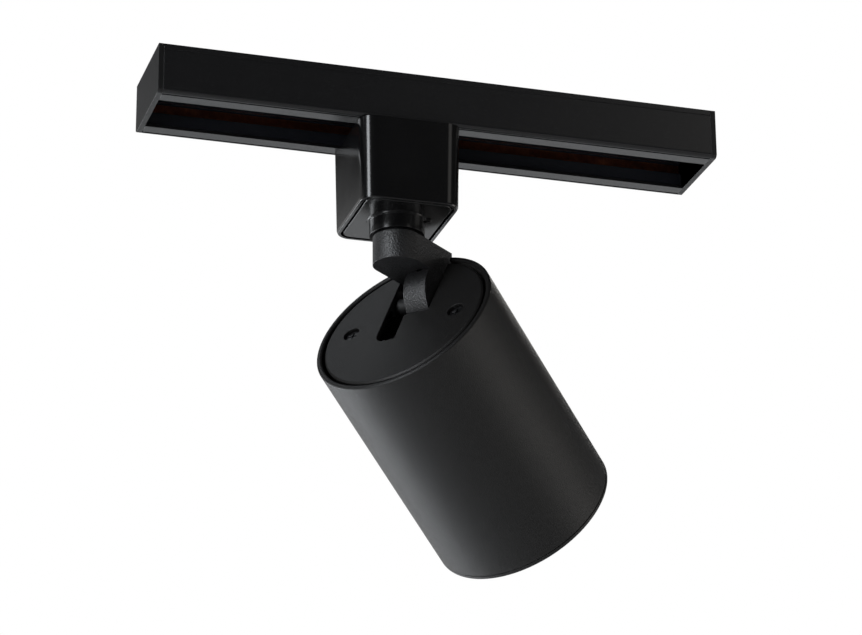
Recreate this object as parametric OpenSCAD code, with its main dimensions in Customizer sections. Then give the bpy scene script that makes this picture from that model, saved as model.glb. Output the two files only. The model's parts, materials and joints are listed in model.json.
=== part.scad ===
// Track spotlight: a cylinder head on a swivel arm under a single-circuit track.
// Origin: middle of the track's ceiling face. +X runs along the track, +Z is up.

/* [Track] */
// Length of the track between its end caps
track_len = 192; // [150:2:400]
// Width of the track
track_w = 35; // [34:0.5:40]
// Height of the track
track_h = 17.5; // [17:0.5:22]
// Thickness of the track's side walls and top web
track_wall = 1.4; // [1.2:0.1:1.8]
// Width of the slot in the track's underside
slot_w = 21.4; // [20.4:0.1:21.6]
// Thickness of the lips beside the slot
lip_t = 1.1; // [0.9:0.1:1.3]
// Radius of the track's lower outside corners
track_corner = 1.5; // [0.8:0.1:2]
// Distance between the two ceiling screw holes
ceiling_pitch = 150; // [120:5:150]
// Diameter of the ceiling screw holes
ceiling_hole_d = 4.4; // [4:0.1:5]
// Thickness of the end caps
end_cap_t = 1.8; // [1.4:0.1:3]

/* [Adapter] */
// Place of the spotlight along the track
spot_x = -11.5; // [-30:0.5:20]
// Length of the adapter box along the track, at its top
adapter_l = 35; // [34:0.5:38]
// Width of the adapter box across the track, at its top
adapter_w = 39.5; // [36:0.5:42]
// Height of the adapter box under the track
adapter_h = 29.5; // [28:0.5:34]
// How much the box narrows on each side towards its bottom
adapter_draft = 0.5; // [0.3:0.05:1]
// Radius of the box's upright corners
adapter_corner = 5.5; // [3:0.5:6]
// Wall thickness of the adapter box
adapter_wall = 1.6; // [1.4:0.1:2]
// Open line between the box and its bottom cover
cover_gap = 0.4; // [0.3:0.1:0.6]
// Thickness of the bottom cover
cover_t = 2.2; // [2:0.1:2.6]
// Diameter of the collar under the cover
collar_d = 18.7; // [18:0.1:20]
// Height of the collar under the cover
collar_h = 5.3; // [4:0.1:6]
// Travel of the lock tab
lock_travel = 2.5; // [2.2:0.1:2.8]

/* [Neck] */
// Width of the neck arm, and the diameter of its round end
arm_w = 16.4; // [16:0.1:17]
// Height of the neck arm
arm_h = 9.9; // [9:0.1:10]
// Reach of the arm from the swivel axis to its square end
arm_reach = 21.5; // [20:0.5:22]
// Gap between the collar and the arm, filled by the friction disc
swivel_gap = 0.5; // [0.4:0.1:0.8]
// Direction that the arm points, from +X towards +Y
swivel_rest = 40.7; // [0:0.1:90]
// Outer diameter of the hollow swivel tube
swivel_tube_d = 10; // [9:0.5:10]
// Distance from the swivel axis to the tilt pivot
pivot_reach = 16; // [15:0.5:16]
// Depth of the tilt pivot under the track
pivot_drop = 53.3; // [53:0.1:54]
// Diameter of the tilt knuckle
knuckle_d = 23.4; // [18:0.2:23.4]
// Diameter of the tilt pivot's shaft
pivot_d = 4; // [3:0.5:4]
// Tilt of the head away from straight down
tilt_rest = 58.75; // [0:0.25:90]

/* [Head] */
// Outer diameter of the head
head_d = 65.4; // [65:0.1:70]
// Length of the head
head_len = 89; // [88:0.5:110]
// Wall thickness of the head's tube
head_wall = 1.9; // [1.7:0.1:2.2]
// Depth of the tilt pivot behind the head's rear rim
pivot_depth = 5.4; // [5.2:0.1:5.6]
// Width of the open line round the rear cap
cap_gap = 1; // [0.8:0.1:1.2]
// Thickness of the rear cap
cap_t = 1.6; // [1.4:0.1:1.6]
// Width of the slot that the arm tilts in
cap_slot_w = 17.4; // [17.2:0.1:17.6]
// Distance between the two rear cap screws
cap_screw_pitch = 41; // [40:0.5:44]
// Depth of the notch in the tube's rim
rim_notch = 12; // [11.5:0.5:13]
// Width of the front ring's edge, seen from the side
ring_edge = 1.6; // [1.2:0.1:2.4]
// Diameter of the light opening
opening_d = 54; // [50:1:55]
// Number of fins on the heat sink
fin_count = 14; // [8:1:20]

/* [Hidden] */

$fn = 64;
eps = 0.01;

// Heights, from the ceiling face down
track_under = -track_h;
adapter_top = track_under - 0.15;
adapter_under = track_under - adapter_h;
cover_top = adapter_under + cover_t;
collar_under = adapter_under - collar_h;
arm_top = collar_under - swivel_gap;
arm_under = arm_top - arm_h;
pivot_z = track_under - pivot_drop;
rim_z = pivot_z + pivot_depth;

// Inside the track
cavity_w = track_w - 2 * track_wall;
lip_top = track_under + lip_t;
rail_gap = 0.1;
conductor_y = 13.7;
conductor_t = 1;
conductor_h = 3.4;
conductor_z = -9.4;
insulator_y = 12;
insulator_top = -2.2;
insulator_low = lip_top + 0.3;
mouth_h = 4.2;

// Adapter
stem_l = 24;
stem_w = slot_w - 1.4;
stem_top = -4.5;
lug_l = 9;
lug_x = 7;
lug_w = 23.2;
lug_h = 1.9;
blade_l = 8;
blade_t = 1;
blade_in = 6;
lock_x = 12.8;
lock_t = 1.6;
lock_w = 18;
lock_rise = 2;
lock_low = -38;
window_w = 10;
window_h = 9;
window_z = -36;
spring_r = 2.2;
spring_wire = 0.6;
spring_turns = 5;
spring_x = 11.4;

// Neck
tube_r = swivel_tube_d / 2;
tube_bore_r = tube_r - 1.4;
tube_top = cover_top + 8.6;
running = 0.05;
nut_af = 14;
stop_r = 8.6;
stop_w = 1.2;
channel_y = -3.85;
channel_r = 2.1;
channel_rise = 4.4;
channel_h = 9.2;
web_from = 9.5;
knuckle_left = 0.5;
pivot_r = pivot_d / 2;
wire_r = 0.9;

// Head, with depths counted from the rear rim along the head's axis
head_r = head_d / 2;
bore_r = head_r - head_wall;
cap_r = bore_r - cap_gap;
cap_sink = 0.2;
slot_from = 4;
slot_tail = -8;
tail_from = 0.8;
boss_d = 8.6;
boss_depth = 4.4;
counterbore_d = 5.8;
counterbore_depth = 3;
ear_in = 9.05;
ear_t = 2.2;
ear_top = 1.9;
plate_top = 18;
plate_t = 2.2;
plate_under = plate_top + plate_t;
post_d = 7;
rod_ring = 25;
rod_r = 1.5;
board_top = 26;
board_t = 1.6;
sink_top = head_len - 42;
sink_base = head_len - 23;
sink_under = head_len - 17;
holder_t = 2.4;
holder_r = 18;
holder_screw_ring = 15.5;
bowl_top = sink_under + holder_t + 0.1;
bowl_under = head_len - 5.2;
gasket_t = 0.6;
lens_t = 2.2;
lens_r = 28.6;
ring_seam = 0.15;
ring_spigot = 6;

// Colours
black = "#1b1b1d";
dark = "#101012";
grey = "#7d8084";
steel = "#b5b8bc";
copper = "#9a5a38";
brass = "#b8973f";
white = "#e8e6e0";

// ---- Placing ----

module at_spot() {
    translate([spot_x, 0, 0]) children();
}

module at_neck() {
    at_spot() rotate([0, 0, swivel_rest]) children();
}

module at_head() {
    at_neck()
        translate([pivot_reach, 0, pivot_z])
            rotate([0, -tilt_rest, 0])
                translate([-pivot_reach, 0, -pivot_z]) children();
}

// A round piece of the head between two depths behind its rear rim
module head_round(r, from, to) {
    translate([0, 0, rim_z - to]) cylinder(r = r, h = to - from);
}

// A block of the head, from low to high across it and between two depths
module head_block(low, high, from, to) {
    translate([low[0], low[1], rim_z - to]) cube([high[0] - low[0], high[1] - low[1], to - from]);
}

// Extrudes an outline drawn across the track along the track
module along_track(length) {
    translate([-length / 2, 0, 0]) rotate([90, 0, 90]) linear_extrude(length) children();
}

// A shaft across the tilt plane at the pivot, between two sideways distances
module across_pivot(r, from, to, sides = 64) {
    translate([pivot_reach, to, pivot_z]) rotate([90, 0, 0]) cylinder(r = r, h = to - from, $fn = sides);
}

module hex(across_flats, height) {
    cylinder(r = across_flats / sqrt(3), h = height, $fn = 6);
}

// ---- Track ----

module track_outline() {
    r = track_corner;
    translate([-track_w / 2, -track_h + r]) square([track_w, track_h - r]);
    translate([-track_w / 2 + r, -track_h]) square([track_w - 2 * r, r]);
    for (side = [-1, 1]) translate([side * (track_w / 2 - r), -track_h + r]) circle(r);
}

module track_cavity() {
    translate([-cavity_w / 2, lip_top]) square([cavity_w, -track_wall - lip_top]);
}

module track_channel() color(black) {
    side_line = 0.25;
    lip_line = 0.7;
    lip_line_y = 15.6;
    difference() {
        along_track(track_len) difference() {
            track_outline();
            track_cavity();
            translate([-slot_w / 2, -track_h - 1]) square([slot_w, track_h]);
            for (side = [-1, 1]) {
                translate([side * track_w / 2 - side_line, -2.2]) square([2 * side_line, 0.35]);
                translate([side * lip_line_y - lip_line / 2, -track_h - 1]) square([lip_line, 1.5]);
            }
        }
        for (side = [-1, 1]) translate([side * ceiling_pitch / 2, 0, -track_wall - 1])
            cylinder(d = ceiling_hole_d, h = track_wall + 2);
        for (side = [-1, 1]) translate([side * (track_len / 2 - 6), 0, -track_wall - 1])
            cylinder(r = 1.3, h = track_wall + 2);
    }
}

// One insulating strip, with a mouth that the contact blade runs in
module insulator() {
    depth = cavity_w / 2 - rail_gap - insulator_y;
    along_track(track_len) difference() {
        translate([insulator_y, insulator_low]) square([depth, insulator_top - insulator_low]);
        translate([insulator_y - 1, conductor_z - mouth_h / 2])
            square([conductor_y - insulator_y + 1, mouth_h]);
        translate([conductor_y - 1, conductor_z - conductor_h / 2])
            square([conductor_t + 1, conductor_h]);
    }
}

module conductor() {
    along_track(track_len) translate([conductor_y, conductor_z - conductor_h / 2])
        square([conductor_t, conductor_h]);
}

module insulator_front() color("#22242c") mirror([0, 1, 0]) insulator();
module insulator_rear() color("#22242c") insulator();
module conductor_front() color(copper) mirror([0, 1, 0]) conductor();
module conductor_rear() color(copper) conductor();

// End cap: a plate of the track's outline with a tongue under the top web
module end_cap() {
    tongue_w = 2 * insulator_y - 1;
    tongue_l = 10;
    difference() {
        union() {
            translate([track_len / 2, 0, 0]) rotate([90, 0, 90]) linear_extrude(end_cap_t) track_outline();
            translate([track_len / 2 - tongue_l, -tongue_w / 2, -track_wall - 4.1])
                cube([tongue_l + eps, tongue_w, 4]);
        }
        translate([track_len / 2 - 6, 0, -track_wall - 4.5]) cylinder(r = 1.3, h = 4.6);
    }
}

module end_cap_left() color(black) mirror([1, 0, 0]) end_cap();
module end_cap_right() color(black) end_cap();

module end_cap_screws() color(steel) for (side = [-1, 1]) {
    translate([side * (track_len / 2 - 6), 0, -track_wall - 4]) cylinder(r = 1.3, h = track_wall + 3.8);
    translate([side * (track_len / 2 - 6), 0, -track_wall - 5.6]) difference() {
        cylinder(r = 2.4, h = 1.5);
        translate([-3, -0.3, -1]) cube([6, 0.6, 1.6]);
    }
}

// ---- Adapter ----

// A flat slab of the box's plan, drawn in by the draft and by an inset
module box_slab(z, inset, draft, t) {
    l = adapter_l - 2 * (inset + draft);
    w = adapter_w - 2 * (inset + draft);
    r = max(adapter_corner - inset, 1);
    translate([0, 0, z]) for (sx = [-1, 1], sy = [-1, 1])
        translate([sx * (l / 2 - r), sy * (w / 2 - r), 0]) cylinder(r = r, h = t, $fn = 48);
}

// The tapered box between two heights
module box_body(top, under, inset) {
    foot = 0.8;
    hull() {
        box_slab(top - 0.1, inset, 0, 0.1);
        box_slab(under + foot, inset, adapter_draft, 0.1);
        box_slab(under, inset + foot / 2, adapter_draft, 0.1);
    }
}

module adapter_housing() color(black) at_spot() {
    deck = adapter_top - 2;
    difference() {
        union() {
            box_body(adapter_top, adapter_under, 0);
            translate([-stem_l / 2, -stem_w / 2, adapter_top - eps])
                cube([stem_l, stem_w, stem_top - adapter_top]);
            for (side = [-1, 1]) translate([side * lug_x - lug_l / 2, -lug_w / 2, lip_top + 0.15])
                cube([lug_l, lug_w, lug_h]);
        }
        hull() {
            box_slab(deck, adapter_wall, 0, 0.1);
            box_slab(adapter_under - 1, adapter_wall - cover_gap / 2, adapter_draft, 0.1);
        }
        // hollow of the stem, for the contacts and their wires
        translate([-stem_l / 2 + 1.6, -stem_w / 2 + 1.6, deck - 1])
            cube([stem_l - 3.2, stem_w - 3.2, stem_top - deck - 0.6]);
        // slits that the contact blades come out of
        translate([-blade_l / 2 - 0.1, -stem_w, conductor_z - blade_t / 2 - 0.1])
            cube([blade_l + 0.2, 2 * stem_w, blade_t + 0.2]);
        // hole for the earth spring
        translate([6, -2.1, stem_top - 3]) cube([5, 4.2, 5]);
        // slit for the lock tongue and window for its button
        translate([lock_x - 0.2, -lock_w / 2 - 0.2, deck - 1]) cube([lock_t + 0.4, lock_w + 0.4, 5]);
        translate([lock_x, -window_w / 2 - 0.2, window_z - window_h / 2 - lock_travel - 0.2])
            cube([10, window_w + 0.4, window_h + lock_travel + 0.4]);
    }
}

module adapter_cover() color(black) at_spot() {
    difference() {
        union() {
            intersection() {
                translate([-50, -50, adapter_under + 0.1]) cube([100, 100, cover_t - 0.1]);
                box_body(adapter_top, adapter_under, adapter_wall + cover_gap);
            }
            translate([0, 0, collar_under]) cylinder(d = collar_d, h = cover_top - collar_under);
            translate([0, 0, adapter_under - 0.35]) cylinder(d = collar_d + 1.6, h = 0.8);
            translate([9.9, -3.4, adapter_under - 0.7]) cylinder(r = 1.1, h = 1.5);
            // stop for the swivel
            translate([-stop_r - 0.4, -stop_w / 2, cover_top - eps]) cube([2.2, stop_w, 1]);
            // snap tongues along two walls
            for (side = [-1, 1]) translate([-4, side * 16.2 - 0.7, cover_top - eps]) cube([8, 1.4, 8]);
            // saddle under the lock spring
            translate([spring_x, 0, cover_top - eps]) cylinder(r = 1.2, h = 1.4);
        }
        translate([0, 0, collar_under - 1]) cylinder(r = tube_r + running, h = 20);
    }
}

// One contact: a blade that reaches into the track, with a leg down to the terminal
module contact() {
    reach = conductor_y - rail_gap;
    leg_y = 6.4;
    translate([-blade_l / 2, leg_y, conductor_z - blade_t / 2]) cube([blade_l, reach - leg_y, blade_t]);
    translate([-2, leg_y, -24]) cube([4, 0.8, conductor_z + 24]);
}

module contact_live() color(brass) at_spot() contact();
module contact_neutral() color(brass) at_spot() mirror([0, 1, 0]) contact();

module earth_spring() color(brass) at_spot() {
    translate([6, -1.8, stem_top - 1.6]) cube([0.6, 3.6, 4.6]);
    translate([6, -1.8, stem_top + 2.6]) cube([4, 3.6, 0.4]);
}

module terminal_block() color(white) at_spot() difference() {
    translate([-7, -8.5, -31]) cube([12, 17, 6.6]);
    for (side = [-1, 1]) {
        translate([1.5, side * 4.5, -32]) cylinder(r = 1.5, h = 3.5);
        translate([-8, side * 4.5, -27.5]) rotate([0, 90, 0]) cylinder(r = 1.2, h = 5);
    }
}

module terminal_screws() color(steel) at_spot() for (side = [-1, 1])
    translate([1.5, side * 4.5, -30.8]) difference() {
        cylinder(r = 1.4, h = 2.2);
        translate([-2, -0.2, -1]) cube([4, 0.4, 1.6]);
    }

// A round bar swept through a list of points; side is never parallel to the route
module swept(points, r, side, sides = 8) {
    last = len(points) - 1;
    rings = [for (i = [0 : last]) let (
            ahead = points[min(i + 1, last)] - points[max(i - 1, 0)],
            t = ahead / norm(ahead),
            n = cross(t, side) / norm(cross(t, side)),
            b = cross(t, n)
        ) for (k = [0 : sides - 1]) points[i] + r * (n * cos(360 * k / sides) + b * sin(360 * k / sides))];
    polyhedron(rings, concat(
        [[for (k = [0 : sides - 1]) k]],
        [for (i = [0 : last - 1], k = [0 : sides - 1]) let (next = (k + 1) % sides)
            [i * sides + k, (i + 1) * sides + k, (i + 1) * sides + next, i * sides + next]],
        [[for (k = [sides - 1 : -1 : 0]) last * sides + k]]
    ));
}

module adapter_wires() color("#8a2f2a") at_spot() for (side = [-1, 1])
    swept([[-4.2, side * 4.5, -27.5], [-8.6, side * 4.5, -27.5], [-10.4, side * 4.4, -28.6],
           [-10.6, side * 4, -30.8], [-8.6, side * 3, -32.4], [-3.6, side * 1.8, -32.4]],
          wire_r, [0.1, 1, 0.2]);

module friction_disc() color(dark) at_spot() difference() {
    translate([0, 0, arm_top + 0.1]) cylinder(d = arm_w - 1.6, h = swivel_gap - 0.1);
    translate([0, 0, arm_top - 1]) cylinder(r = tube_r + 0.1, h = 3);
}

module lock_spring() color(steel) at_spot() translate([spring_x, 0, 0]) {
    low = cover_top + spring_wire;
    high = lock_low - 0.15 - spring_wire / 2;
    steps = spring_turns * 14;
    swept([for (i = [0 : steps]) let (a = 360 * spring_turns * i / steps)
        [spring_r * cos(a), spring_r * sin(a), low + (high - low) * i / steps]],
        spring_wire / 2, [0, 0, 1], 6);
}

module lock_tab() color(dark) at_spot() {
    difference() {
        union() {
            translate([lock_x, -lock_w / 2, lock_low])
                cube([lock_t, lock_w, track_under + lock_rise - lock_low]);
            translate([lock_x + lock_t - eps, -window_w / 2, window_z - window_h / 2])
                cube([4.4, window_w, window_h]);
            translate([spring_x - 3, -3.2, lock_low]) cube([lock_x - spring_x + 3 + eps, 6.4, 1.2]);
        }
        for (i = [-1 : 1]) translate([lock_x + lock_t + 4, -window_w, window_z + 2.2 * i - 0.4])
            cube([2, 2 * window_w, 0.8]);
    }
}

// ---- Neck ----

// The way for the wires: out of the swivel tube, along the arm and down through the knuckle
module wire_channel() {
    translate([0, channel_y, arm_under + channel_rise]) rotate([0, 90, 0]) cylinder(r = channel_r, h = channel_h);
    translate([channel_h, channel_y, pivot_z - knuckle_d])
        cylinder(r = channel_r, h = arm_under + channel_rise - pivot_z + knuckle_d);
}

module neck_arm() color(black) at_neck() {
    width = arm_w / 2;
    difference() {
        union() {
            translate([0, 0, arm_under]) cylinder(r = width, h = arm_h);
            translate([0, -width, arm_under]) cube([arm_reach, arm_w, arm_h]);
            across_pivot(knuckle_d / 2, -width, knuckle_left);
            translate([web_from, -width, pivot_z])
                cube([arm_reach - web_from, width + knuckle_left, arm_under - pivot_z + eps]);
        }
        translate([0, 0, arm_under + 2]) cylinder(r = tube_r, h = arm_h);
        across_pivot(pivot_r + running, -width - 1, knuckle_left + 1);
        wire_channel();
    }
}

module swivel_tube() color(steel) at_neck() difference() {
    translate([0, 0, arm_under + 2]) cylinder(r = tube_r, h = tube_top - arm_under - 2);
    translate([0, 0, arm_under + 1]) cylinder(r = tube_bore_r, h = tube_top - arm_under);
    wire_channel();
}

module stop_washer() color(steel) at_neck() difference() {
    union() {
        translate([0, 0, cover_top + 0.05]) cylinder(r = 6.4, h = 0.9);
        translate([6, -0.5, cover_top + 0.05]) cube([stop_r - 6, 1, 0.9]);
    }
    cylinder(r = tube_r, h = 200, center = true);
}

module wave_washer() color(steel) at_neck() difference() {
    translate([0, 0, cover_top + 1]) cylinder(r = 6.4, h = 0.7);
    cylinder(r = tube_r, h = 200, center = true);
}

module swivel_nut() color(steel) at_neck() difference() {
    translate([0, 0, cover_top + 1.75]) hex(nut_af, 5);
    cylinder(r = tube_r, h = 200, center = true);
}

module neck_wires() color(dark) at_neck() for (side = [-1, 1]) {
    low = arm_under + channel_rise;
    y = channel_y + 0.95 * side;
    swept([[0, side * 1.3, tube_top + 1.5], [0, side * 1.3, low + 4], [0.3, side * 1.1 - 0.7, low + 1.8],
           [1.6, y + 0.9, low + 0.3], [3.6, y, low], [7.4, y, low], [channel_h - 0.4, y, low - 0.7],
           [channel_h, y, low - 2.2], [channel_h, y, pivot_z - 9]], wire_r, [-0.3, 1, 0.05]);
}

// ---- Head: shell and hinge ----

module head_tube() color(black) at_head() {
    bevel = 0.5;
    end = head_len - ring_edge - ring_seam;
    difference() {
        translate([0, 0, rim_z]) mirror([0, 0, 1]) rotate_extrude() polygon([
            [bore_r, bevel], [bore_r + bevel, 0], [head_r - bevel, 0], [head_r, bevel],
            [head_r, end], [bore_r, end]
        ]);
        head_block([10, -cap_slot_w / 2 - 0.3], [head_r + 1, cap_slot_w / 2 + 0.3], -1, rim_notch);
    }
}

// The opening that the arm passes through, with its narrow tail on one side
module arm_opening(from, to) {
    half = cap_slot_w / 2;
    tail_r = 3.6;
    head_block([slot_from, -half], [head_r, half], from, to);
    head_block([slot_tail + tail_r, tail_from], [slot_from + 1, half], from, to);
    head_block([slot_tail, tail_from], [slot_from, half - tail_r], from, to);
    translate([slot_tail + tail_r, half - tail_r, 0]) head_round(tail_r, from, to);
}

module rear_cap() color(black) at_head() {
    bevel = 0.6;
    under = cap_sink + cap_t;
    difference() {
        union() {
            translate([0, 0, rim_z]) mirror([0, 0, 1]) rotate_extrude() polygon([
                [0, cap_sink], [cap_r - bevel, cap_sink], [cap_r, cap_sink + bevel], [cap_r, under], [0, under]
            ]);
            for (side = [-1, 1]) translate([0, side * cap_screw_pitch / 2, 0])
                head_round(boss_d / 2, under - eps, boss_depth);
        }
        arm_opening(-1, under + 1);
        for (side = [-1, 1]) translate([0, side * cap_screw_pitch / 2, 0]) {
            head_round(counterbore_d / 2, -1, counterbore_depth);
            head_round(1.6, 0, boss_depth + 1);
        }
    }
}

module cap_screws() color(dark) at_head() for (side = [-1, 1])
    translate([0, side * cap_screw_pitch / 2, 0]) difference() {
        union() {
            head_round(2.6, counterbore_depth - 1.7, counterbore_depth);
            head_round(1.25, counterbore_depth - eps, counterbore_depth + 9);
        }
        head_block([-1.8, -0.3], [1.8, 0.3], 0, counterbore_depth - 0.9);
        head_block([-0.3, -1.8], [0.3, 1.8], 0, counterbore_depth - 0.9);
    }

module hinge_bracket() color(grey) at_head() {
    difference() {
        union() {
            head_round(28, plate_top, plate_under);
            for (side = [-1, 1]) {
                mirror([0, side < 0 ? 1 : 0, 0])
                    head_block([10.5, ear_in], [22, ear_in + ear_t], ear_top, plate_top + eps);
                translate([0, side * cap_screw_pitch / 2, 0]) head_round(post_d / 2, boss_depth, plate_top + eps);
            }
        }
        across_pivot(pivot_r, -20, 20);
        for (side = [-1, 1]) translate([0, side * cap_screw_pitch / 2, 0]) head_round(1.25, 0, plate_under + 1);
        for (i = [0 : 2]) rotate(60 + 120 * i) translate([rod_ring, 0, 0])
            head_round(rod_r, plate_top - 1, plate_under + 1);
        translate([-9, 4, 0]) head_round(5, plate_top - 1, plate_under + 1);
    }
}

module pivot_screw() color(dark) at_head() difference() {
    union() {
        across_pivot(pivot_r, -ear_in - ear_t - 1, ear_in + ear_t + 3.6);
        across_pivot(3.4, -ear_in - ear_t - 2.6, -ear_in - ear_t);
    }
    translate([pivot_reach, -ear_in - ear_t - 1, pivot_z]) rotate([90, 0, 0]) hex(2.5, 4);
}

module pivot_nut() color(dark) at_head() difference() {
    translate([pivot_reach, ear_in + ear_t, pivot_z]) rotate([-90, 0, 0]) hex(6.8, 3.2);
    across_pivot(pivot_r, 0, 20);
}

// A ring on the pivot between two sideways distances
module pivot_ring(r, from, to) {
    difference() {
        across_pivot(r, from, to);
        across_pivot(pivot_r + running, from - 1, to + 1);
    }
}

module pivot_washers() color(dark) at_head() {
    pivot_ring(3.3, -ear_in + running, -arm_w / 2 - running);
    pivot_ring(3.3, knuckle_left + running, knuckle_left + 0.75);
}

module pivot_spacer() color(dark) at_head() pivot_ring(3, knuckle_left + 0.8, ear_in);

// ---- Head: driver ----

module tie_rods() color(steel) at_head() for (i = [0 : 2]) rotate(60 + 120 * i)
    translate([rod_ring, 0, 0]) {
        head_round(rod_r, plate_top - 2, sink_base);
        translate([0, 0, rim_z - plate_top]) hex(5, 2);
    }

module rod_sleeves() color(white) at_head() for (i = [0 : 2]) rotate(60 + 120 * i)
    translate([rod_ring, 0, 0]) for (span = [[plate_under, board_top], [board_top + board_t, sink_top]])
        difference() {
            head_round(2.6, span[0], span[1]);
            head_round(rod_r, span[0] - 1, span[1] + 1);
        }

module driver_board() color("#2f5a3a") at_head() difference() {
    head_round(28, board_top, board_top + board_t);
    for (i = [0 : 2]) rotate(60 + 120 * i) translate([rod_ring, 0, 0])
        head_round(rod_r, board_top - 1, board_top + board_t + 1);
}

module driver_capacitor() color("#26304a") at_head() translate([-12, -12, 0]) {
    head_round(5, board_top + board_t, board_top + board_t + 14);
}

module driver_transformer() color("#c9a227") at_head() {
    under = board_top + board_t;
    head_block([-4, -2], [12, 11], under, under + 4);
    head_block([-1, 1], [9, 8], under + 4 - eps, under + 10);
    head_block([-4, -2], [12, 11], under + 10 - eps, under + 13);
}

module driver_chips() color(dark) at_head() {
    under = board_top + board_t;
    head_block([-1, -16], [5, -11], under, under + 1.8);
    head_block([9, -12], [15, -5], under, under + 1.8);
    head_block([-15, 6], [-8, 13], under, under + 2.4);
}

module head_wires() color("#8a2f2a") at_head() for (side = [-1, 1])
    translate([-9 + side * 1.5, 4, 0]) head_round(wire_r, 13, board_top);

// ---- Head: light engine ----

module heat_sink() color(grey) at_head() difference() {
    union() {
        head_round(bore_r - 0.1, sink_base, sink_under);
        head_round(9, sink_top, sink_base + eps);
        for (i = [0 : fin_count - 1]) rotate(360 * i / fin_count + 10)
            head_block([6, -0.9], [bore_r - 1.2, 0.9], sink_top + 2, sink_base + eps);
    }
    for (i = [0 : 2]) rotate(60 + 120 * i) translate([rod_ring, 0, 0])
        head_round(2.8, sink_top - 1, sink_base);
    for (side = [-1, 1]) rotate(45) translate([side * holder_screw_ring, 0, 0]) head_round(1, sink_under - 5, sink_under + 1);
}

module led_board() color("#d8d8d0") at_head() head_block([-9.5, -9.5], [9.5, 9.5], sink_under, sink_under + 1);

module led_chip() color("#e8c33a") at_head() head_round(7, sink_under + 1, sink_under + 1.6);

module led_holder() color(white) at_head() difference() {
    head_round(holder_r, sink_under, sink_under + holder_t);
    head_round(9, sink_under - 1, sink_under + holder_t + 1);
    head_block([-9.6, -9.6], [9.6, 9.6], sink_under - 1, sink_under + 1.05);
    for (side = [-1, 1]) rotate(45) translate([side * holder_screw_ring, 0, 0]) {
        head_round(1.1, sink_under - 1, sink_under + holder_t + 1);
        head_round(2.2, sink_under + holder_t - 1.4, sink_under + holder_t + 1);
    }
}

module holder_screws() color(steel) at_head() for (side = [-1, 1]) rotate(45)
    translate([side * holder_screw_ring, 0, 0]) difference() {
        union() {
            head_round(1, sink_under - 4, sink_under + holder_t - 1);
            head_round(2, sink_under + holder_t - 1.4, sink_under + holder_t);
        }
        head_block([-1.4, -0.25], [1.4, 0.25], sink_under + holder_t - 0.6, sink_under + holder_t + 1);
    }

// The bowl widens as the square root of its depth, with a flange at its front
module reflector() color("#c8cacd") at_head() {
    wall = 0.8;
    throat = 7.6;
    mouth = opening_d / 2 - 0.6;
    depth = bowl_under - bowl_top;
    rings = 10;
    translate([0, 0, rim_z - bowl_top]) mirror([0, 0, 1]) rotate_extrude() polygon(concat(
        [for (k = [0 : rings]) [throat + (mouth - throat) * sqrt(k / rings), depth * k / rings]],
        [[mouth + 1.6, depth], [mouth + 1.6, depth - wall]],
        [for (k = [rings : -1 : 0])
            [throat + (mouth - throat) * sqrt(k / rings) + wall, max(depth * k / rings - wall, 0)]]
    ));
}

module lens_gasket() color(dark) at_head() difference() {
    head_round(lens_r, bowl_under, bowl_under + gasket_t);
    head_round(opening_d / 2, bowl_under - 1, bowl_under + gasket_t + 1);
}

module lens() color("#cfd8dc", 0.5) at_head()
    head_round(lens_r, bowl_under + gasket_t, bowl_under + gasket_t + lens_t);

module front_ring() color(black) at_head() {
    bevel = 0.5;
    back = head_len - ring_edge;
    lens_seat = bowl_under + gasket_t + lens_t;
    translate([0, 0, rim_z]) mirror([0, 0, 1]) rotate_extrude() polygon([
        [lens_r + 0.1, back - ring_spigot], [bore_r - 0.1, back - ring_spigot], [bore_r - 0.1, back],
        [head_r, back], [head_r, head_len - bevel], [head_r - bevel, head_len],
        [opening_d / 2 + 1.2, head_len], [opening_d / 2, lens_seat], [lens_r + 0.1, lens_seat]
    ]);
}

// ---- Nodes ----

track_channel();
insulator_front();
insulator_rear();
conductor_front();
conductor_rear();
end_cap_left();
end_cap_right();
end_cap_screws();
adapter_housing();
adapter_cover();
contact_live();
contact_neutral();
earth_spring();
terminal_block();
terminal_screws();
adapter_wires();
friction_disc();
lock_spring();
lock_tab();
neck_arm();
swivel_tube();
stop_washer();
wave_washer();
swivel_nut();
neck_wires();
head_tube();
rear_cap();
cap_screws();
hinge_bracket();
pivot_screw();
pivot_nut();
pivot_washers();
pivot_spacer();
tie_rods();
rod_sleeves();
driver_board();
driver_capacitor();
driver_transformer();
driver_chips();
head_wires();
heat_sink();
led_board();
led_chip();
led_holder();
holder_screws();
reflector();
lens_gasket();
lens();
front_ring();
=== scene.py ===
"""Track spotlight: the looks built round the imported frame, piece by piece in the order it is put together."""
import json
import math

import bmesh
import bpy
from mathutils import Matrix, Vector


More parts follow.
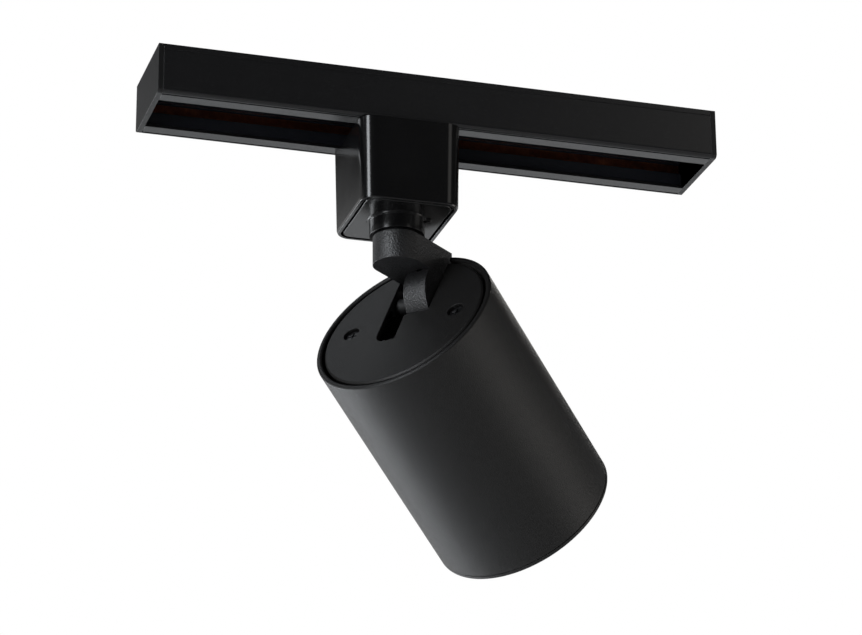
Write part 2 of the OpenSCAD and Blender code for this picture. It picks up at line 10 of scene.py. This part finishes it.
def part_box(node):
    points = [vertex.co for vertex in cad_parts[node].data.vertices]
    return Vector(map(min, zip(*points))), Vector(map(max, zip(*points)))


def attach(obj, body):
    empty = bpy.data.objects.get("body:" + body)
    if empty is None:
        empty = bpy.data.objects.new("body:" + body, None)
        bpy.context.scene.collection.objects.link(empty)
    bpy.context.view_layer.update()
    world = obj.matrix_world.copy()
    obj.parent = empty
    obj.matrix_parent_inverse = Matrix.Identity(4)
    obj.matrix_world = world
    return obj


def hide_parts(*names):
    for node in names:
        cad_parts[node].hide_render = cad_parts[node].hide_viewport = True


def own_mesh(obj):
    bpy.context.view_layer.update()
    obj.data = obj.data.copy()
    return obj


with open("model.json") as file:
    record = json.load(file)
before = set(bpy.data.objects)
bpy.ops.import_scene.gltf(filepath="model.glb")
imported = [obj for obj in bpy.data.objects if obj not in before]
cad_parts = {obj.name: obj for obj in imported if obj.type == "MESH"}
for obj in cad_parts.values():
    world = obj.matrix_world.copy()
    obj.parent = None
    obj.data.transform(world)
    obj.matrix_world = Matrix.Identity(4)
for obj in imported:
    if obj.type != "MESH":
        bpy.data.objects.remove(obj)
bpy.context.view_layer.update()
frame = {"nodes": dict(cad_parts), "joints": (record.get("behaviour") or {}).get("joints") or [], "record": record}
nodes = frame["nodes"]

# ---- Camera --------------------------------------------------------------------------------------
# The camera stands low in front of the left half of the track and looks up at it through a long lens.
# It comes first, so that every piece is made for the view that it is seen from.

camera_place = Vector((-0.2946, -0.9674, -0.4716))
camera_aim = Vector((0.0044, 0.0139, -0.0744))
camera_roll = math.radians(-0.45)

camera = bpy.data.objects.new("camera", bpy.data.cameras.new("camera"))
bpy.context.scene.collection.objects.link(camera)
camera.data.lens = 136.2
camera.data.sensor_width = 36.0
camera.data.clip_start = 0.05
camera.data.clip_end = 50.0
camera.location = camera_place
camera.rotation_mode = "QUATERNION"
look = (camera_aim - camera_place).to_track_quat("-Z", "Y")
camera.rotation_quaternion = look @ Matrix.Rotation(camera_roll, 3, "Z").to_quaternion()
bpy.context.scene.camera = camera
bpy.context.scene.view_settings.view_transform = "Standard"

# ---- Track channel -------------------------------------------------------------------------------
# An aluminium extrusion, sprayed with satin black enamel after it is cut.
# The enamel is smooth to the touch, with a faint orange peel and fine drag marks along the extrusion.


class Value:
    """A number that changes over a surface, written with the ordinary operators."""

    def __init__(self, finish, socket):
        self.finish = finish
        self.socket = socket

    def _math(self, operation, first, second):
        return self.finish.value("ShaderNodeMath", {"operation": operation}, {0: first, 1: second})

    def __add__(self, other):
        return self._math("ADD", self, other)

    def __radd__(self, other):
        return self._math("ADD", other, self)

    def __mul__(self, other):
        return self._math("MULTIPLY", self, other)

    def __rmul__(self, other):
        return self._math("MULTIPLY", other, self)


class Finish:
    """A material, with one method for adding nodes and short ways to its usual patterns."""

    def __init__(self, name, **sockets):
        self.material = bpy.data.materials.new(name)
        self.material.use_nodes = True
        self.tree = self.material.node_tree
        self.shader = self.tree.nodes["Principled BSDF"]
        for key, number in sockets.items():
            self.shader.inputs[key.replace("_", " ")].default_value = number
        self.place = self.node("ShaderNodeTexCoord").outputs["Object"]

    def node(self, kind, settings=None, inputs=None):
        made = self.tree.nodes.new(kind)
        for key, setting in (settings or {}).items():
            setattr(made, key, setting)
        for key, source in (inputs or {}).items():
            self.join(source, made.inputs[key])
        return made

    def join(self, source, socket):
        source = getattr(source, "socket", source)
        if isinstance(source, bpy.types.NodeSocket):
            self.tree.links.new(source, socket)
        else:
            socket.default_value = source

    def value(self, kind, settings, inputs):
        return Value(self, self.node(kind, settings, inputs).outputs[0])

    def stretched(self, scale):
        return self.node("ShaderNodeMapping", {}, {"Vector": self.place, "Scale": scale}).outputs[0]

    def noise(self, scale, detail=2.0, roughness=0.5, place=None):
        sockets = {"Vector": place or self.place, "Scale": scale, "Detail": detail, "Roughness": roughness}
        return self.value("ShaderNodeTexNoise", {}, sockets)

    def step(self, source, low, high, to_low=0.0, to_high=1.0):
        sockets = {"Value": source, "From Min": low, "From Max": high, "To Min": to_low, "To Max": to_high}
        return self.value("ShaderNodeMapRange", {"interpolation_type": "SMOOTHSTEP"}, sockets)

    def mixed(self, factor, first, second):
        sockets = {"Factor": factor, 6: (*first, 1.0), 7: (*second, 1.0)}
        return self.node("ShaderNodeMix", {"data_type": "RGBA"}, sockets).outputs[2]

    def bump(self, height, distance, strength):
        sockets = {"Height": height, "Distance": distance, "Strength": strength}
        self.join(self.node("ShaderNodeBump", {}, sockets).outputs[0], self.shader.inputs["Normal"])

    def surface(self, **links):
        for key, source in links.items():
            self.join(source, self.shader.inputs[key.replace("_", " ")])
        return self.material


def track_enamel():
    finish = Finish("track_enamel", IOR=1.5)
    drag = finish.noise(1.0, 3.0, 0.6, finish.stretched((14.0, 900.0, 900.0)))
    peel = finish.noise(420.0, 2.0)
    dust = finish.step(finish.noise(2600.0, 1.0), 0.72, 0.8)
    finish.bump(peel * 0.7 + drag * 0.3, 0.00002, 0.5)
    tone = finish.mixed(finish.noise(28.0, 3.0), (0.0065, 0.0065, 0.0072), (0.011, 0.011, 0.0115))
    return finish.surface(Base_Color=tone, Roughness=0.2 + 0.1 * drag + 0.15 * dust)


part_of = {part: body for body, parts in frame["record"]["behaviour"]["bodies"].items() for part in parts}


def wear(name, material):
    nodes[name].data.materials.clear()
    nodes[name].data.materials.append(material)


weld_distance = 0.00001
flat_within = math.radians(0.5)
corner_above = math.radians(35)


def eased(name, width, material, segments=3):
    """The piece with every sharp corner rounded over by a small width, as tumbling or moulding leaves it."""
    shape = bmesh.new()
    shape.from_mesh(nodes[name].data)
    bmesh.ops.remove_doubles(shape, verts=shape.verts, dist=weld_distance)
    bmesh.ops.dissolve_limit(shape, angle_limit=flat_within, verts=shape.verts, edges=shape.edges)
    corners = [edge for edge in shape.edges if edge.calc_face_angle() > corner_above]
    bmesh.ops.bevel(shape, geom=corners, offset=width, offset_type="OFFSET", affect="EDGES",
                    segments=segments, profile=0.5, material=-1, clamp_overlap=False)
    for face in shape.faces:
        face.smooth = True
    piece = bpy.data.objects.new(name + "_eased", bpy.data.meshes.new(name + "_eased"))
    shape.to_mesh(piece.data)
    shape.free()
    piece.data.materials.append(material)
    bpy.context.scene.collection.objects.link(piece)
    flats = piece.modifiers.new("flat_faces_stay_flat", "WEIGHTED_NORMAL")
    flats.weight = 100
    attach(piece, part_of[name])
    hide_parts(name)


enamel = track_enamel()
eased("track_channel", 0.00008, enamel, 2)

# ---- Insulating strips ---------------------------------------------------------------------------
# Two black plastic extrusions that keep the conductors clear of the channel.
# Each is pushed in from the channel's end, one on each side of the slot.


def strip_plastic():
    finish = Finish("strip_plastic", IOR=1.46)
    lines = finish.noise(1.0, 2.0, 0.5, finish.stretched((6.0, 1500.0, 1500.0)))
    finish.bump(lines, 0.00003, 0.6)
    tone = finish.mixed(lines, (0.006, 0.008, 0.012), (0.012, 0.013, 0.018))
    return finish.surface(Base_Color=tone, Roughness=0.42 + 0.12 * lines)


strip = strip_plastic()
wear("insulator_front", strip)
wear("insulator_rear", strip)

# ---- Conductors ----------------------------------------------------------------------------------
# Flat copper strips rolled into the mouths of the insulators.
# They carry the current along the track, and have gone brown with age.


def aged_copper():
    finish = Finish("aged_copper", Metallic=1.0)
    stain = finish.step(finish.noise(90.0, 4.0, 0.65), 0.35, 0.7)
    rubbed = finish.noise(1.0, 2.0, 0.5, finish.stretched((5.0, 2200.0, 2200.0)))
    finish.bump(rubbed, 0.00002, 0.5)
    tone = finish.mixed(stain, (0.36, 0.12, 0.06), (0.13, 0.045, 0.03))
    return finish.surface(Base_Color=tone, Roughness=0.3 + 0.2 * stain)


copper = aged_copper()
wear("conductor_front", copper)
wear("conductor_rear", copper)

# ---- End caps ------------------------------------------------------------------------------------
# Moulded black plastic caps with a tongue that slides under the channel's web.
# Each is held by one zinc-plated screw.


def moulded_black(name, grain, roughness):
    finish = Finish(name, IOR=1.5)
    spark = finish.noise(grain, 2.0, 0.55)
    haze = finish.noise(60.0, 3.0)
    finish.bump(spark, 0.00002, 0.35)
    tone = finish.mixed(haze, (0.0025, 0.0025, 0.0027), (0.0042, 0.0042, 0.0046))
    return finish.surface(Base_Color=tone, Roughness=roughness + 0.1 * haze)


cap_plastic = moulded_black("end_cap_plastic", 1500.0, 0.38)
eased("end_cap_left", 0.00008, cap_plastic, 2)
eased("end_cap_right", 0.00008, cap_plastic, 2)


def bright_zinc():
    finish = Finish("bright_zinc", Metallic=1.0)
    cloud = finish.noise(260.0, 4.0, 0.6)
    turned = finish.noise(3000.0, 1.0)
    finish.bump(turned, 0.00001, 0.4)
    tone = finish.mixed(cloud, (0.62, 0.63, 0.66), (0.46, 0.46, 0.45))
    return finish.surface(Base_Color=tone, Roughness=0.24 + 0.2 * cloud)


zinc = bright_zinc()
wear("end_cap_screws", zinc)

# ---- Adapter box ---------------------------------------------------------------------------------
# A moulded black shell with a stem that stands in the track's slot, closed by a cover below.
# Both are glossier than the end caps.

box_plastic = moulded_black("adapter_box_plastic", 2400.0, 0.13)
eased("adapter_housing", 0.0001, box_plastic)
eased("adapter_cover", 0.0001, box_plastic)

# ---- Contacts ------------------------------------------------------------------------------------
# Two stamped brass blades and an earth leaf.
# They are pressed into the box's stem and reach out into the slot.


def stamped_brass():
    finish = Finish("stamped_brass", Metallic=1.0)
    stain = finish.noise(180.0, 4.0, 0.6)
    finish.bump(finish.noise(2500.0, 1.0), 0.00001, 0.4)
    tone = finish.mixed(stain, (0.75, 0.56, 0.22), (0.5, 0.35, 0.14))
    return finish.surface(Base_Color=tone, Roughness=0.25 + 0.2 * stain)


brass = stamped_brass()
for name in ("contact_live", "contact_neutral", "earth_spring"):
    wear(name, brass)

# ---- Terminal block ------------------------------------------------------------------------------
# A white heat-proof moulding with a dull, slightly yellowed face.
# Its zinc-plated screws clamp the leads.


def white_moulding():
    finish = Finish("white_moulding", IOR=1.46)
    age = finish.noise(70.0, 3.0)
    finish.bump(finish.noise(1800.0, 2.0), 0.00002, 0.4)
    tone = finish.mixed(age, (0.82, 0.81, 0.77), (0.72, 0.7, 0.62))
    return finish.surface(Base_Color=tone, Roughness=0.45 + 0.1 * age)


white_plastic = white_moulding()
wear("terminal_block", white_plastic)
wear("terminal_screws", zinc)

# ---- Wires ---------------------------------------------------------------------------------------
# Silicone-covered leads, from the terminals down the swivel tube and into the head.
# Where they pass through the arm they run in a black sleeve.


def silicone_cover(name, light, dark):
    finish = Finish(name, IOR=1.42)
    skin = finish.noise(300.0, 2.0)
    finish.bump(skin, 0.00003, 0.3)
    tone = finish.mixed(skin, light, dark)
    return finish.surface(Base_Color=tone, Roughness=0.5 + 0.1 * skin)


red_silicone = silicone_cover("red_silicone", (0.42, 0.05, 0.035), (0.3, 0.03, 0.025))
wear("adapter_wires", red_silicone)
wear("head_wires", red_silicone)
wear("neck_wires", silicone_cover("black_sleeve", (0.012, 0.012, 0.013), (0.007, 0.007, 0.008)))

# ---- Friction disc and lock tab ------------------------------------------------------------------
# Black nylon mouldings, duller than the box. The disc steadies the swivel.
# The tab slides in the box and holds the adapter in the track.

nylon = moulded_black("black_nylon", 1100.0, 0.5)
wear("friction_disc", nylon)
eased("lock_tab", 0.00015, nylon)

# ---- Lock spring ---------------------------------------------------------------------------------
# Zinc-plated wire wound into an open coil. It stands on the cover, under the lock tab's foot,
# and is built at its rest height, though the real one shortens as the tab is pulled down.

spring_low, spring_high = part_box("lock_spring")
spring_wire = 0.0006
wire_sides = 10
spring_turns = 5
steps_a_turn = 24
spring_steps = spring_turns * steps_a_turn
spring_radius = (spring_high[0] - spring_low[0] - spring_wire) / 2
spring_middle = ((spring_low[0] + spring_high[0]) / 2, (spring_low[1] + spring_high[1]) / 2)
spring_foot = Vector((*spring_middle, spring_low[2]))
spring_rise = spring_high[2] - spring_low[2] - spring_wire

coil = bmesh.new()
bmesh.ops.create_circle(coil, segments=wire_sides, radius=spring_wire / 2)
bmesh.ops.rotate(coil, verts=coil.verts, cent=(0, 0, 0), matrix=Matrix.Rotation(math.radians(90), 3, "X"))
bmesh.ops.translate(coil, verts=coil.verts, vec=(spring_radius, 0.0, spring_wire / 2))
bmesh.ops.spin(coil, geom=coil.verts[:] + coil.edges[:], cent=(0, 0, 0), axis=(0, 0, 1),
               dvec=(0.0, 0.0, spring_rise / spring_steps), angle=math.tau * spring_turns, steps=spring_steps)
bmesh.ops.holes_fill(coil, edges=[edge for edge in coil.edges if edge.is_boundary])
bmesh.ops.recalc_face_normals(coil, faces=coil.faces)
bmesh.ops.translate(coil, verts=coil.verts, vec=spring_foot)
for face in coil.faces:
    face.smooth = True
spring = bpy.data.objects.new("lock_spring_coil", bpy.data.meshes.new("lock_spring_coil"))
coil.to_mesh(spring.data)
coil.free()
spring.data.materials.append(zinc)
bpy.context.scene.collection.objects.link(spring)
tab_joint = next(joint for joint in frame["joints"] if joint["name"] == "lock_tab_slide")
spring_height = spring_high[2] - spring_low[2]
spring_kept = 1.0 - tab_joint["range_m"][1] / spring_height
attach(spring, "adapter")
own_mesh(spring)
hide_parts("lock_spring")

# ---- Swivel --------------------------------------------------------------------------------------
# A turned tube with a stop washer, a wave washer and a nut, all of zinc-plated steel.
# They hold the arm to the box and let it turn.

for name in ("swivel_tube", "stop_washer", "wave_washer", "swivel_nut"):
    wear(name, zinc)

# ---- Neck arm ------------------------------------------------------------------------------------
# A zinc die casting that carries the head.
# It has a coarse black powder coat, which sparkles where the light catches it.


def powder_coat(name, grain, depth, speckle, light, dark, gloss, roughness):
    finish = Finish(name, IOR=gloss)
    coarse = finish.noise(grain, 3.0, 0.6)
    fine = finish.noise(grain * 2.3, 2.0, 0.5)
    cells = {"Vector": finish.place, "Scale": grain * 1.4}
    facets = finish.value("ShaderNodeTexVoronoi", {"feature": "F1"}, cells)
    finish.bump(coarse * 0.5 + fine * 0.25 + facets * 0.25, depth, 1.0)
    cloud = finish.noise(35.0, 3.0)
    tone = finish.mixed(cloud * 0.5 + coarse * 0.5, dark, light)
    shine = finish.step(facets, 0.0, 0.35, -speckle, 0.0)
    return finish.surface(Base_Color=tone, Roughness=roughness + 0.12 * fine + shine)


speckled_coat = powder_coat("speckled_coat", grain=1150.0, depth=0.0004, speckle=0.2,
                            light=(0.0125, 0.0125, 0.013), dark=(0.008, 0.008, 0.009),
                            gloss=1.6, roughness=0.36)
eased("neck_arm", 0.0001, speckled_coat)

# ---- Head tube, rear cap and front ring ----------------------------------------------------------
# Three aluminium pieces under a fine sand-textured matte coat.
# Two black-plated screws hold the cap on.

sand_coat = powder_coat("sand_coat", grain=2200.0, depth=0.00013, speckle=0.16,
                        light=(0.0068, 0.0063, 0.0061), dark=(0.0038, 0.0035, 0.0034),
                        gloss=1.43, roughness=0.43)
for name in ("head_tube", "rear_cap", "front_ring"):
    eased(name, 0.0002, sand_coat)


def black_plating():
    finish = Finish("black_plating", Metallic=0.6)
    worn = finish.step(finish.noise(900.0, 3.0), 0.55, 0.75)
    finish.bump(finish.noise(2500.0, 1.0), 0.00002, 0.4)
    tone = finish.mixed(worn, (0.012, 0.012, 0.013), (0.07, 0.07, 0.075))
    return finish.surface(Base_Color=tone, Roughness=0.35 + 0.15 * worn)


plated = black_plating()
eased("cap_screws", 0.00008, plated, 2)

# ---- Tilt hinge ----------------------------------------------------------------------------------
# A bracket in the head with a pivot screw and nut, all plated black.
# Nylon washers and a spacer keep the metal faces apart.

eased("hinge_bracket", 0.00012, plated, 2)
wear("pivot_screw", plated)
wear("pivot_nut", plated)
wear("pivot_washers", nylon)
wear("pivot_spacer", nylon)

# ---- Driver --------------------------------------------------------------------------------------
# A round glass-fibre board on zinc-plated tie rods with white sleeves.
# It holds a capacitor, a taped transformer and chips.


def solder_mask():
    finish = Finish("solder_mask", IOR=1.5)
    weave = finish.noise(1400.0, 2.0)
    tracks = finish.step(finish.noise(240.0, 0.0), 0.49, 0.51)
    finish.bump(tracks, 0.00004, 0.6)
    tone = finish.mixed(tracks, (0.02, 0.12, 0.05), (0.035, 0.19, 0.08))
    return finish.surface(Base_Color=tone, Roughness=0.3 + 0.15 * weave)


wear("tie_rods", zinc)
wear("rod_sleeves", white_plastic)
wear("driver_board", solder_mask())
component_black = moulded_black("component_black", 1800.0, 0.4)
wear("driver_capacitor", component_black)
wear("driver_chips", component_black)


def polyester_tape():
    finish = Finish("polyester_tape", IOR=1.55)
    creases = finish.noise(400.0, 3.0)
    finish.bump(creases, 0.00005, 0.5)
    tone = finish.mixed(creases, (0.7, 0.48, 0.06), (0.55, 0.36, 0.04))
    return finish.surface(Base_Color=tone, Roughness=0.25 + 0.2 * creases)


wear("driver_transformer", polyester_tape())

# ---- Heat sink -----------------------------------------------------------------------------------
# An aluminium casting left plain, with the dull grain of the die.
# The light engine is screwed to its front.


def plain_casting():
    finish = Finish("sink_casting", Metallic=1.0)
    grain = finish.noise(1200.0, 4.0, 0.6)
    cloud = finish.noise(90.0, 3.0)
    finish.bump(grain, 0.00004, 0.6)
    tone = finish.mixed(cloud, (0.62, 0.63, 0.64), (0.48, 0.49, 0.5))
    return finish.surface(Base_Color=tone, Roughness=0.42 + 0.15 * grain)


wear("heat_sink", plain_casting())

# ---- Light engine --------------------------------------------------------------------------------
# A chip-on-board source under a gel of yellow phosphor.
# A white ring and two small screws hold it to the heat sink.


def board_coating():
    finish = Finish("board_coating", Metallic=0.3)
    grain = finish.noise(1600.0, 2.0)
    tone = finish.mixed(grain, (0.8, 0.8, 0.79), (0.7, 0.7, 0.69))
    return finish.surface(Base_Color=tone, Roughness=0.35 + 0.1 * grain)


def phosphor_gel():
    finish = Finish("phosphor_gel", IOR=1.41)
    speck = finish.noise(2600.0, 2.0)
    finish.bump(speck, 0.00003, 0.5)
    tone = finish.mixed(speck, (0.9, 0.66, 0.1), (0.8, 0.55, 0.06))
    return finish.surface(Base_Color=tone, Roughness=0.3 + 0.15 * speck)


wear("led_board", board_coating())
wear("led_chip", phosphor_gel())
wear("led_holder", white_plastic)
wear("holder_screws", zinc)

# ---- Reflector, gasket and lens ------------------------------------------------------------------
# A metallised bowl, a black silicone seal and a clear toughened glass.
# The front ring holds the glass.


def metallised():
    finish = Finish("metallised", Metallic=1.0)
    ripple = finish.noise(150.0, 2.0)
    finish.bump(ripple, 0.00006, 0.4)
    tone = finish.mixed(ripple, (0.86, 0.87, 0.88), (0.8, 0.81, 0.82))
    return finish.surface(Base_Color=tone, Roughness=0.08 + 0.1 * ripple)


wear("reflector", metallised())
wear("lens_gasket", moulded_black("seal_rubber", 900.0, 0.6))


def clear_glass():
    finish = Finish("clear_glass", IOR=1.5, Roughness=0.02, Transmission_Weight=1.0)
    smear = finish.noise(60.0, 3.0)
    tone = finish.mixed(smear, (0.96, 0.98, 0.98), (0.92, 0.95, 0.95))
    return finish.surface(Base_Color=tone, Roughness=0.015 + 0.03 * smear)


wear("lens", clear_glass())

# ---- Studio --------------------------------------------------------------------------------------
# A pale floor, a white sweep of light behind and below, and a room that is dim in front.
# Large soft boxes light the coats, and a lamp over each corner keeps the floor pale.

floor_z = -1.1
floor_reach = 6.0
floor_mesh = bmesh.new()
bmesh.ops.create_grid(floor_mesh, x_segments=2, y_segments=2, size=floor_reach)
bmesh.ops.translate(floor_mesh, verts=floor_mesh.verts, vec=(0.0, 0.0, floor_z))
floor = bpy.data.objects.new("floor", bpy.data.meshes.new("floor"))
floor_mesh.to_mesh(floor.data)
floor_mesh.free()
bpy.context.scene.collection.objects.link(floor)


def floor_paper():
    finish = Finish("floor_paper", Roughness=0.9)
    fibre = finish.noise(40.0, 3.0)
    return finish.surface(Base_Color=finish.mixed(fibre, (0.86, 0.86, 0.86), (0.82, 0.82, 0.82)))


floor.data.materials.append(floor_paper())

world = bpy.data.worlds.new("studio")
bpy.context.scene.world = world
world.use_nodes = True
room = world.node_tree
direction = room.nodes.new("ShaderNodeTexCoord")
split = room.nodes.new("ShaderNodeSeparateXYZ")
room.links.new(direction.outputs["Generated"], split.inputs[0])


def room_math(operation, first, second):
    made = room.nodes.new("ShaderNodeMath")
    made.operation = operation
    for socket, source in zip(made.inputs, (first, second)):
        if isinstance(source, float):
            socket.default_value = source
        else:
            room.links.new(source, socket)
    return made.outputs[0]


def room_ramp(source, low, high):
    made = room.nodes.new("ShaderNodeMapRange")
    made.interpolation_type = "SMOOTHSTEP"
    made.inputs["From Min"].default_value = low
    made.inputs["From Max"].default_value = high
    room.links.new(source, made.inputs["Value"])
    return made.outputs[0]


sweep_light = 0.62
room_dimness = 0.045
behind = room_ramp(split.outputs["Y"], -0.1, 0.6)
low_down = room_ramp(split.outputs["Z"], 0.385, 0.355)
sweep = room_math("MULTIPLY", behind, low_down)
sweep = room_math("MULTIPLY", sweep, sweep_light)
in_front = room_ramp(split.outputs["Y"], 0.7, 0.0)
dim = room_math("MULTIPLY", in_front, room_dimness)
glow = room_math("ADD", sweep, dim)
seen = room.nodes.new("ShaderNodeLightPath").outputs["Is Camera Ray"]
strength = room_math("MAXIMUM", glow, seen)
background = room.nodes["Background"]
background.inputs["Color"].default_value = (1.0, 1.0, 1.0, 1.0)
room.links.new(strength, background.inputs["Strength"])


def soft_box(name, place, size, power, tint, aim=(0.0, 0.0, -0.08)):
    light = bpy.data.lights.new(name, "AREA")
    light.shape = "RECTANGLE"
    light.size, light.size_y = size
    light.energy = power
    light.color = tint
    stand = bpy.data.objects.new(name, light)
    bpy.context.scene.collection.objects.link(stand)
    stand.location = place
    stand.rotation_mode = "QUATERNION"
    stand.rotation_quaternion = (Vector(aim) - Vector(place)).to_track_quat("-Z", "Y")


cool = (0.92, 0.96, 1.0)
warm = (1.0, 0.97, 0.93)
white = (1.0, 1.0, 1.0)
low_aim = (0.5, 2.2, floor_z)
corner_reach = 2.6
corner_height = -0.3
for across in (-corner_reach, corner_reach):
    for along in (-corner_reach, corner_reach):
        lamp_place = (across, along, corner_height)
        soft_box("floor_corner_box", lamp_place, (3.0, 3.0), 30.0, white, (across, along, floor_z))
soft_box("left_strip", (-1.22, -0.74, 0.2), (0.42, 1.4), 17.0, cool)
soft_box("low_left_box", (-0.85, 1.15, -0.55), (0.7, 0.9), 17.0, cool)
soft_box("right_box", (1.3, -0.32, -0.28), (0.6, 0.7), 2.8, warm)
soft_box("ceiling_box", (-0.6, 0.5, 1.3), (0.7, 0.7), 2.0, cool)
soft_box("rim_box", (0.72, 1.1, 0.75), (0.4, 0.4), 1.6, warm)
soft_box("front_right_box", (0.9, -1.2, 0.62), (0.6, 0.6), 0.8, warm)
soft_box("floor_lamp", (0.4, 1.8, -0.2), (1.0, 1.0), 12.0, cool, low_aim)
